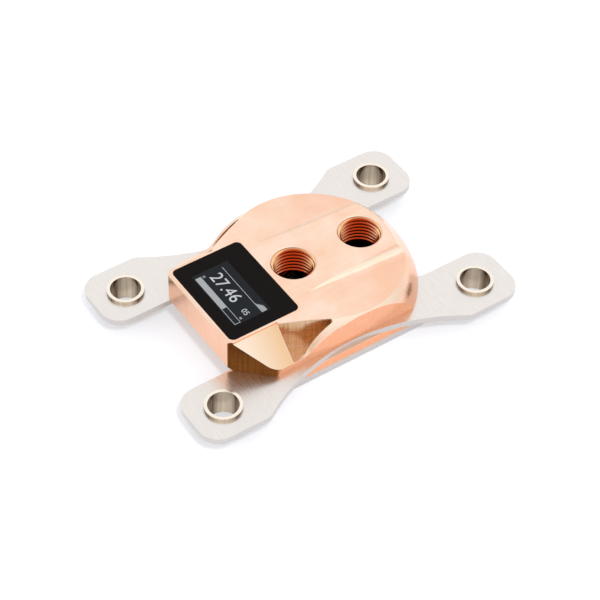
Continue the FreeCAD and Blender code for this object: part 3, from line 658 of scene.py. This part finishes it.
def dress(node: str, material: bpy.types.Material) -> None:
    """Give a solid of the frame its material.

    Args:
        node: The node's name.
        material: The material for all its slots.
    """
    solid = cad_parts[node]
    if not solid.material_slots:
        solid.data.materials.append(material)
    for slot in solid.material_slots:
        slot.material = material
    LOG.info("dressed %s in %s", node, material.name)


def add_piece(name: str, mesh: bpy.types.Mesh, material: bpy.types.Material) -> bpy.types.Object:
    """Add a mesh to the scene as a piece of the block.

    Args:
        name: The piece's name.
        mesh: Its mesh, in the frame's own place.
        material: Its material.

    Returns:
        The new object.
    """
    piece = bpy.data.objects.new(name, mesh)
    bpy.context.scene.collection.objects.link(piece)
    mesh.materials.append(material)
    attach(piece, "root")
    LOG.info("added %s, %d faces", name, len(mesh.polygons))
    return piece


def mesh_from(name: str, fill: Fill, smooth: bool = False) -> bpy.types.Mesh:
    """Make a mesh with a function that fills a bmesh.

    Args:
        name: The mesh's name.
        fill: Function that adds the geometry.
        smooth: Whether faces are shaded smooth.

    Returns:
        The finished mesh.
    """
    work = bmesh.new()
    fill(work)
    bmesh.ops.recalc_face_normals(work, faces=work.faces)
    for face in work.faces:
        face.smooth = smooth
    mesh = bpy.data.meshes.new(name)
    work.to_mesh(mesh)
    work.free()
    return mesh


def add_slab(work: bmesh.types.BMesh, low: Sequence[float], high: Sequence[float]) -> None:
    """Add a closed box.

    Args:
        work: The bmesh to fill.
        low: Lowest corner in millimetres.
        high: Highest corner in millimetres.
    """
    size = [b - a for a, b in zip(low, high)]
    middle = [(a + b) / 2 for a, b in zip(low, high)]
    matrix = Matrix.Translation(Vector(middle) * MM) @ Matrix.Diagonal(
        [s * MM for s in size] + [1.0])
    bmesh.ops.create_cube(work, size=1.0, matrix=matrix)


def add_ring(work: bmesh.types.BMesh, outer: list[Vector], inner: list[Vector], base: float,
             thick: float) -> None:
    """Add a closed flat ring between two outlines with as many points each, in millimetres.

    Args:
        work: The bmesh to fill.
        outer: Outer outline.
        inner: Inner outline.
        base: Height of its underside.
        thick: Its thickness.
    """
    low_out, high_out, low_in, high_in = [
        [work.verts.new((p + Vector((0, 0, z))) * MM) for p in outline]
        for outline in (outer, inner) for z in (base, base + thick)]
    count = len(outer)
    for i in range(count):
        j = (i + 1) % count
        for one, two in ((low_out, high_out), (high_out, high_in), (high_in, low_in),
                         (low_in, low_out)):
            work.faces.new((one[i], one[j], two[j], two[i]))


def rounded_rectangle(size: Plan, corner: float, centre: Plan,
                      steps: int = 6) -> list[Vector]:
    """Return the points of a rounded rectangle, in millimetres.

    Args:
        size: Size along X and along Y.
        corner: Corner radius.
        centre: Its middle.
        steps: Steps along each corner's arc.

    Returns:
        Points, anticlockwise.
    """
    width, depth = size
    points = []
    for quarter, (x, y) in enumerate(((1, 1), (-1, 1), (-1, -1), (1, -1))):
        middle = Vector((x * (width / 2 - corner), y * (depth / 2 - corner), 0))
        for step in range(steps + 1):
            angle = math.pi / 2 * (quarter + step / steps)
            point = middle + corner * Vector((math.cos(angle), math.sin(angle), 0))
            points.append(point + Vector((*centre, 0)))
    return points


@dataclass
class PortThread:
    """Pipe thread inside one port: a helical ridge with a rounded crest, in millimetres."""

    name: str
    centre_y: float
    major_radius: float = 6.5785
    ridge: float = 0.86
    pitch: float = 1.337
    turns: float = 7.3
    top: float = 19.35
    steps: int = 72
    sunk: float = 0.03
    foot: float = 0.04
    rounding: float = 0.07
    foot_share: float = 0.46
    tip_share: float = 0.1
    fade_turns: float = 0.3
    least_fade: float = 0.02

    def profile(self) -> list[tuple[float, float]]:
        """Draw the ridge's section.

        Returns:
            Points as radius and height off the ridge's middle.
        """
        wall = self.major_radius + self.sunk
        foot = self.major_radius - self.foot
        crest = self.major_radius - self.ridge
        half, tip = self.pitch * self.foot_share, self.pitch * self.tip_share
        return [(wall, -half), (foot, -half), (crest + self.rounding, -tip), (crest, 0.0),
                (crest + self.rounding, tip), (foot, half), (wall, half)]

    def fill(self, work: bmesh.types.BMesh) -> None:
        """Sweep the section down the helix, fading in and out over a part of a turn.

        Args:
            work: The bmesh to fill.
        """
        rings = []
        wall = self.major_radius + self.sunk
        count = int(self.turns * self.steps)
        fade_steps = self.steps * self.fade_turns
        for number in range(count + 1):
            angle = 2 * math.pi * number / self.steps
            height = self.top - self.pitch * number / self.steps
            fade = min(1.0, number / fade_steps, (count - number) / fade_steps)
            fade = max(fade, self.least_fade)
            ring = []
            for radius, offset in self.profile():
                reach = wall - (wall - radius) * fade
                ring.append(work.verts.new(Vector((
                    reach * math.cos(angle), self.centre_y + reach * math.sin(angle),
                    height + offset)) * MM))
            rings.append(ring)
        width = len(rings[0])
        for upper, lower in zip(rings, rings[1:]):
            for i in range(width):
                j = (i + 1) % width
                work.faces.new((upper[i], upper[j], lower[j], lower[i]))
        work.faces.new(rings[0])
        work.faces.new(list(reversed(rings[-1])))

    def build(self, material: bpy.types.Material) -> None:
        """Add the thread to the port."""
        add_piece(self.name, mesh_from(self.name, self.fill, smooth=True), material)


@dataclass
class Cover:
    """Milled copper cover with its two threads."""

    port_front: float = 3.05
    port_pitch: float = 24.0
    finish: MilledCopper = MilledCopper()
    thread_finish: TappedCopper = TappedCopper()

    def build(self) -> None:
        """Dress the cover and cut its threads."""
        dress("top_cover", self.finish.material())
        thread = self.thread_finish.material()
        for name, place in (("inlet_thread", -self.port_front),
                            ("outlet_thread", self.port_pitch - self.port_front)):
            PortThread(name, place).build(thread)


@dataclass(frozen=True)
class Figures:
    """Plain figures on the screen: their height and lower left corner in millimetres.

    The digit share is how high a digit stands in its font size.
    """

    name: str
    text: str
    height: float
    place: Plan
    digit_share: float = 0.73
    half_thickness: float = 0.005
    curve_steps: int = 4

    def add(self, base: float, material: bpy.types.Material) -> None:
        """Add the figures as a flat mesh.

        Args:
            base: Height above the contact face in millimetres.
            material: Their material.
        """
        curve = bpy.data.curves.new(self.name, "FONT")
        curve.body = self.text
        curve.size = self.height / self.digit_share * MM
        curve.extrude = self.half_thickness * MM
        curve.resolution_u = self.curve_steps
        source = bpy.data.objects.new(f"{self.name}_source", curve)
        bpy.context.scene.collection.objects.link(source)
        mesh = bpy.data.meshes.new_from_object(source)
        bpy.data.objects.remove(source)
        mesh.name = self.name
        mesh.materials.clear()
        mesh.transform(Matrix.Translation(Vector((*self.place, base)) * MM))
        add_piece(self.name, mesh, material)


@dataclass
class Display:
    """Glass, its printed border and the lit picture under it, in millimetres.

    Heights named print, ground and picture are off the layer that the print starts at.
    """

    window: Plan = (32.7, 23.6)
    window_corner: float = 1.75
    window_centre: Plan = (0.0, -23.55)
    screen: Plan = (23.2, 12.4)
    screen_corner: float = 0.25
    screen_centre: Plan = (0.27, -25.17)
    layer: float = 19.9
    print_thickness: float = 0.03
    ground_overlap: float = 0.3
    ground: Limits = (-0.04, -0.01)
    picture: Limits = (0.01, 0.02)
    line: float = 0.13
    rule_ends: Limits = (-9.88, 7.72)
    rule_low: float = -21.74
    bar_left: float = -9.93
    bar_filled_to: float = 4.35
    bar_right: float = 11.47
    bar_low: float = -31.02
    bar_high: float = -29.07
    columns: int = 8
    column_pitch: float = 0.49
    column_gap: float = 0.06
    column_base: float = 0.12
    column_rise: float = 0.42
    column_limit: float = 1.7
    figures: tuple[Figures, ...] = (
        Figures("screen_digits", "27.46", 4.2, (-8.68, -27.07)),
        Figures("small_digits", "05", 1.9, (7.62, -26.62)),
        Figures("scale_low", "20", 0.75, (-9.98, -28.57)),
        Figures("scale_high", "40", 0.75, (9.62, -28.57)))
    glass: ClearGlass = ClearGlass()
    # Painted light: the black print glows, though it gives no light of its own.
    black: ScreenGlow = ScreenGlow("black_print_painted_glow", (24, 19, 19))
    dark: ScreenGlow = ScreenGlow("screen_dark", (38, 41, 45))
    lit: ScreenGlow = ScreenGlow("screen_lit", (206, 208, 213))
    grey: ScreenGlow = ScreenGlow("screen_grey", (176, 178, 180))
    panel: PlainFinish = PlainFinish(
        "panel_glass", ((22, 24, 28), (30, 32, 36)), (0.3, 0.4), shine=0.1)

    def picture_slab(self, work: bmesh.types.BMesh, low: Plan, high: Plan) -> None:
        """Add a thin lit slab between two corners."""
        base, top = (self.layer + height for height in self.picture)
        add_slab(work, (*low, base), (*high, top))

    def print_border(self, work: bmesh.types.BMesh) -> None:
        """Lay the black print, with an opening for the screen.

        Args:
            work: The bmesh to fill.
        """
        outer = rounded_rectangle(self.window, self.window_corner, self.window_centre)
        inner = rounded_rectangle(self.screen, self.screen_corner, self.screen_centre)
        add_ring(work, outer, inner, self.layer, self.print_thickness)

    def screen_ground(self, work: bmesh.types.BMesh) -> None:
        """Lay the dark, barely lit ground of the screen.

        Args:
            work: The bmesh to fill.
        """
        x, y = self.screen_centre
        half_x, half_y = (size / 2 + self.ground_overlap for size in self.screen)
        base, top = (self.layer + height for height in self.ground)
        add_slab(work, (x - half_x, y - half_y, base), (x + half_x, y + half_y, top))

    def bright_marks(self, work: bmesh.types.BMesh) -> None:
        """Draw the open part of the bar's frame and the thin rule above the figures.

        Args:
            work: The bmesh to fill.
        """
        for low in (self.bar_low, self.bar_high - self.line):
            self.picture_slab(work, (self.bar_filled_to, low), (self.bar_right, low + self.line))
        self.picture_slab(work, (self.bar_right - self.line, self.bar_low + self.line),
                          (self.bar_right, self.bar_high - self.line))
        left, right = self.rule_ends
        self.picture_slab(work, (left, self.rule_low), (right, self.rule_low + self.line))

    def filled_marks(self, work: bmesh.types.BMesh) -> None:
        """Draw the filled part of the bar, and the rising columns of the small graph.

        Args:
            work: The bmesh to fill.
        """
        self.picture_slab(work, (self.bar_left, self.bar_low), (self.bar_filled_to, self.bar_high))
        first = self.rule_ends[1]
        for number in range(self.columns):
            left = first + number * self.column_pitch
            rise = min(self.column_limit, self.column_rise * (number + 0.5))
            self.picture_slab(work, (left, self.rule_low),
                              (left + self.column_pitch - self.column_gap,
                               self.rule_low + self.column_base + rise))

    def build(self) -> None:
        """Add the print, the ground and the picture, and dress the glass and the panel."""
        dress("display_window", self.glass.material())
        dress("display_panel", self.panel.material())
        lit = self.lit.material()
        for name, fill, material, slot in (
                ("window_print", self.print_border, self.black.material(), Slot.BLACK_GLASS),
                ("screen_ground", self.screen_ground, self.dark.material(), Slot.PANEL),
                ("screen_marks", self.bright_marks, lit, Slot.PANEL),
                ("screen_bar", self.filled_marks, self.grey.material(), Slot.PANEL)):
            add_piece(name, mesh_from(name, fill), material)
        for figures in self.figures:
            figures.add(self.layer + self.picture[1], lit)


@dataclass
class Bracket:
    """Brushed stainless bracket and its four nickel-plated sleeves."""

    sleeves: tuple[str, ...] = ("sleeve_front_left", "sleeve_front_right",
                                "sleeve_rear_left", "sleeve_rear_right")
    steel: BrushedSteel = BrushedSteel()
    plating: PlatedNickel = PlatedNickel()

    def build(self) -> None:
        """Dress the bracket and the sleeves."""
        dress("mounting_bracket", self.steel.material())
        nickel = self.plating.material()
        for name in self.sleeves:
            dress(name, nickel)


@dataclass
class ColdSide:
    """Cold plate, its frame, screws, jet plate and seals."""

    seals: tuple[str, ...] = ("main_seal", "window_gasket", "probe_seal")
    # The plate carries the same painted light and shade as the cover, without the passages' painted
    # shade.
    copper: MilledCopper = MilledCopper(
        "plate_copper", replace(MILLING, grain=Grain.ALONG_X), passage_heights=(-1.0, -2.0))
    steel: BrushedSteel = BrushedSteel("frame_stainless", replace(BRUSHING, grain=Grain.ALONG_Y))
    screw: PlainFinish = PlainFinish(
        "screw_steel", ((160, 160, 164), (190, 190, 192)), (0.25, 0.35), metallic=1.0)
    rubber: PlainFinish = PlainFinish("black_rubber", ((24, 24, 24), (34, 34, 34)), (0.6, 0.75))

    def build(self) -> None:
        """Dress everything under the cover, and the seals in it."""
        dress("cold_plate", self.copper.material())
        steel = self.steel.material()
        for name in ("retaining_frame", "jet_plate"):
            dress(name, steel)
        dress("frame_screws", self.screw.material())
        rubber = self.rubber.material()
        for name in self.seals:
            dress(name, rubber)


@dataclass
class Electronics:
    """Board, chip, socket, ribbon and probe."""

    mask: PlainFinish = PlainFinish(
        "solder_mask", ((14, 52, 30), (22, 70, 42)), (0.3, 0.42), coat=0.3)
    plastic: PlainFinish = PlainFinish("black_plastic", ((26, 26, 28), (38, 38, 40)), (0.4, 0.55))
    film: PlainFinish = PlainFinish("ribbon_film", ((170, 100, 38), (190, 120, 50)), (0.3, 0.4))
    brass: PlainFinish = PlainFinish(
        "probe_brass", ((196, 160, 90), (214, 180, 110)), (0.2, 0.3), metallic=1.0)

    def build(self) -> None:
        """Dress the parts inside the display end."""
        for finish, names in ((self.mask, ("circuit_board",)),
                              (self.plastic, ("processor_chip", "data_socket")),
                              (self.film, ("display_ribbon",)),
                              (self.brass, ("temperature_probe",))):
            material = finish.material()
            for name in names:
                dress(name, material)


@dataclass(frozen=True)
class SoftLamp:
    """Square soft lamp that points at the block: lengths in metres, power in watts.

    A lamp that doesn't gleam isn't mirrored by shiny surfaces.
    """

    name: str
    place: Place
    size: float
    power: float
    gleams: bool = True

    def add(self) -> None:
        """Hang the lamp in the scene."""
        data = bpy.data.lights.new(self.name, "AREA")
        data.size = self.size
        data.energy = self.power
        lamp = bpy.data.objects.new(self.name, data)
        bpy.context.scene.collection.objects.link(lamp)
        lamp.location = self.place
        lamp.visible_glossy = self.gleams
        lamp.rotation_mode = "QUATERNION"
        lamp.rotation_quaternion = Vector(self.place).to_track_quat("Z", "Y")


@dataclass
class Studio:
    """Floor, light and camera of the product shot.

    Angles are in degrees, the camera's distance and target in millimetres. Each rise is a range
    of directions, from 0 at the horizon to 1 overhead, that the light changes over.
    """

    azimuth: float = 54.609
    elevation: float = 46.936
    roll: float = 1.679
    distance: float = 626.065
    target: Place = (5.368, -4.021, 9.1)
    focal_pixels: float = 2104.518
    frame_pixels: float = 600.0
    sensor: float = 36.0
    nearest: float = 0.01
    farthest: float = 20.0
    low_level: float = 0.84
    light_level: float = 1.04
    level_rise: Limits = (0.0, 0.65)
    ceiling: float = 0.8
    ceiling_rise: Limits = (0.78, 1.0)
    floor_tone: LinearColour = (0.64, 0.66, 0.7, 1.0)
    floor_roughness: float = 0.9
    floor_lift: float = 0.36
    floor_reach: float = 3.0
    floor_gap: float = 0.1
    lamps: tuple[SoftLamp, ...] = (
        SoftLamp("fillet_light", (0.12, 0.36, 0.8), 0.3, 0.17),
        SoftLamp("shadow_light", (0.4, -0.145, 0.68), 0.08, 2.0, gleams=False))

    def camera_axes(self) -> tuple[Vector, Vector, Vector]:
        """Work out how the camera is turned.

        Returns:
            Its right, up and backward directions.
        """
        a, e, r = (math.radians(v) for v in (self.azimuth, self.elevation, self.roll))
        back = Vector((math.sin(a) * math.cos(e), -math.cos(a) * math.cos(e), math.sin(e)))
        right = (-back).cross(Vector((0, 0, 1))).normalized()
        up = right.cross(-back)
        return (right * math.cos(r) + up * math.sin(r),
                up * math.cos(r) - right * math.sin(r), back)

    def add_camera(self) -> None:
        """Place the camera where the photograph was taken from."""
        data = bpy.data.cameras.new("camera")
        data.sensor_width = self.sensor
        data.lens = self.focal_pixels / self.frame_pixels * self.sensor
        data.clip_start = self.nearest
        data.clip_end = self.farthest
        camera = bpy.data.objects.new("camera", data)
        bpy.context.scene.collection.objects.link(camera)
        right, up, back = self.camera_axes()
        place = (Vector(self.target) + back * self.distance) * MM
        camera.matrix_world = Matrix.Translation(place) @ Matrix(
            (right, up, back)).transposed().to_4x4()
        bpy.context.scene.camera = camera

    def floor_material(self) -> bpy.types.Material:
        """Build a white that keeps the block's shadow and is clear when seen from below.

        Returns:
            The material.
        """
        material, sheet, shader = new_material("white_floor")
        sheet.feed(shader, {"Base Color": self.floor_tone, "Roughness": self.floor_roughness,
                            "Specular IOR Level": 0.0})
        path = sheet.node("LightPath").outputs
        seen = sheet.math("MAXIMUM", path["Is Camera Ray"], path["Is Glossy Ray"])
        seen = sheet.math("MAXIMUM", seen, path["Is Transmission Ray"])
        lift = sheet.node("Emission", {
            "Color": WHITE, "Strength": sheet.math("MULTIPLY", seen, self.floor_lift)})
        total = sheet.node("AddShader", {0: shader.outputs[0], 1: lift.outputs[0]})
        clear = sheet.node("BsdfTransparent")
        below = sheet.node("NewGeometry").outputs["Backfacing"]
        one_sided = sheet.node("MixShader", {0: below, 1: total.outputs[0], 2: clear.outputs[0]})
        sheet.feed(sheet.tree.nodes["Material Output"], {"Surface": one_sided.outputs[0]})
        return material

    def floor_square(self, work: bmesh.types.BMesh) -> None:
        """Add one large square."""
        bmesh.ops.create_grid(work, x_segments=1, y_segments=1, size=self.floor_reach)

    def add_floor(self) -> None:
        """Lay the floor just under the block."""
        floor = bpy.data.objects.new("floor", mesh_from("floor", self.floor_square))
        floor.location.z = -self.floor_gap * MM
        floor.data.materials.append(self.floor_material())
        bpy.context.scene.collection.objects.link(floor)

    def add_world(self) -> None:
        """Surround the block with plain light, a little dimmer low down and overhead."""
        world = bpy.data.worlds.new("studio")
        bpy.context.scene.world = world
        world.use_nodes = True
        sheet = NodeSheet(world.node_tree)
        way = sheet.node("TexCoord").outputs["Generated"]
        rise = sheet.node("SeparateXYZ", {0: way}).outputs["Z"]
        above = sheet.spread(rise, self.level_rise, self.low_level, self.light_level)
        overhead = sheet.spread(rise, self.ceiling_rise, 1.0, self.ceiling)
        level = sheet.math("MULTIPLY", above, overhead)
        seen = sheet.node("LightPath").outputs["Is Camera Ray"]
        sheet.feed(world.node_tree.nodes["Background"], {
            "Strength": sheet.math("MAXIMUM", level, seen), "Color": WHITE})

    def build(self) -> None:
        """Set up the whole studio."""
        self.add_floor()
        self.add_world()
        for lamp in self.lamps:
            lamp.add()
        self.add_camera()
        bpy.context.scene.view_settings.view_transform = "Standard"


def main() -> None:
    """Build every sub-assembly in order."""
    logging.basicConfig(level=logging.INFO, format="%(message)s")
    for assembly in (Bracket(), ColdSide(), Cover(), Electronics(), Display(), Studio()):
        assembly.build()
        LOG.info("built %s", type(assembly).__name__)


if __name__ == "__main__":
    main()
